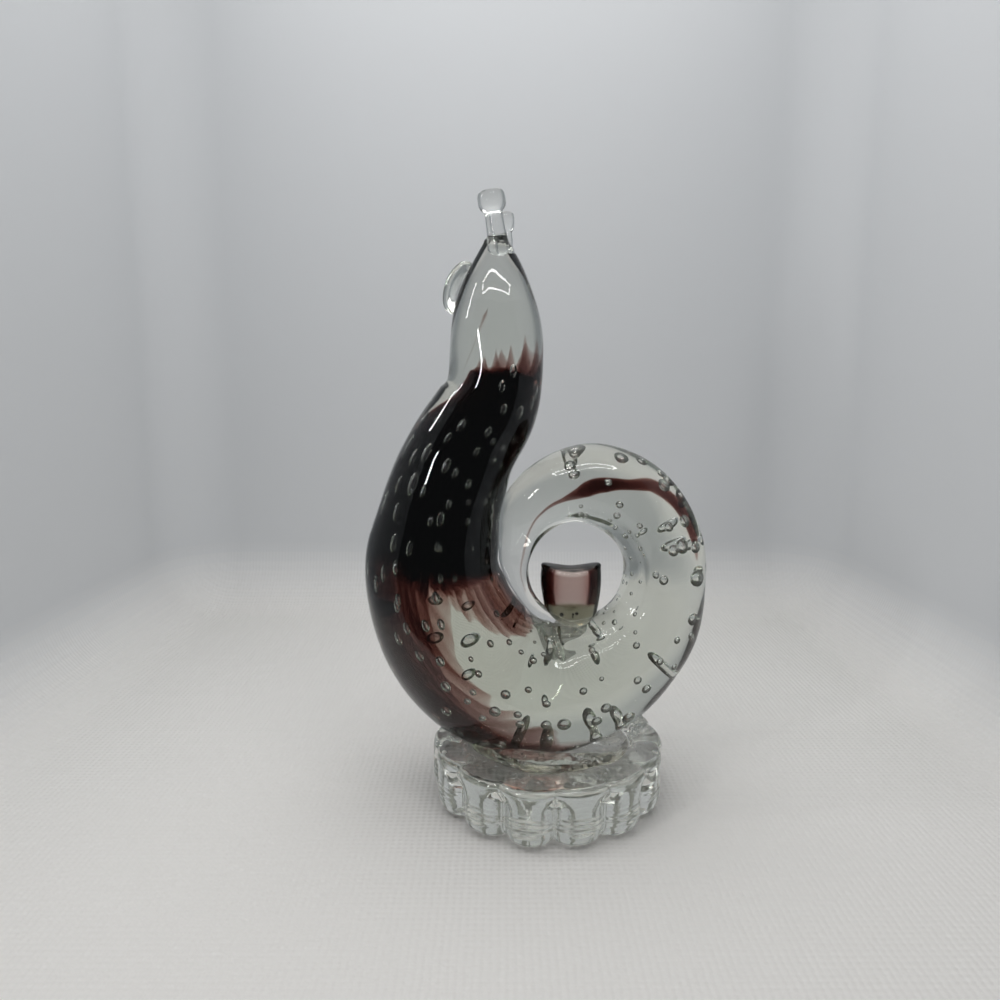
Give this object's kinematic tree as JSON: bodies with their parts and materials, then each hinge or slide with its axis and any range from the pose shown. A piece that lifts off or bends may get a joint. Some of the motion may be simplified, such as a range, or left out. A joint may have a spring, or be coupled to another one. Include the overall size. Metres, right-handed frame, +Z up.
{
  "type": "glass snail figurine",
  "caption": "Solid art glass snail with a dark amethyst neck cased in clear bubbled glass, coiled round an open eye on a fluted clear foot.",
  "frame": {"origin": "middle of the fluted foot's flat underside", "axes": "+Z up from the table, +X from the neck towards the coil, +Y through the coil's eye, away from the viewer"},
  "size_m": [0.1028, 0.0702, 0.1802],
  "materials": {
    "clear_glass": "gloss",
    "amethyst_glass": "gloss"
  },
  "bodies": {
    "root": {"fluted_foot": "clear_glass", "joining_wafer": "clear_glass", "clear_casing": "clear_glass", "amethyst_core": "amethyst_glass", "clear_heart": "clear_glass", "amethyst_tail": "amethyst_glass", "tail_bud": "amethyst_glass", "near_tentacle": "clear_glass", "far_tentacle": "clear_glass", "face_lip": "clear_glass"}
  },
  "joints": []
}
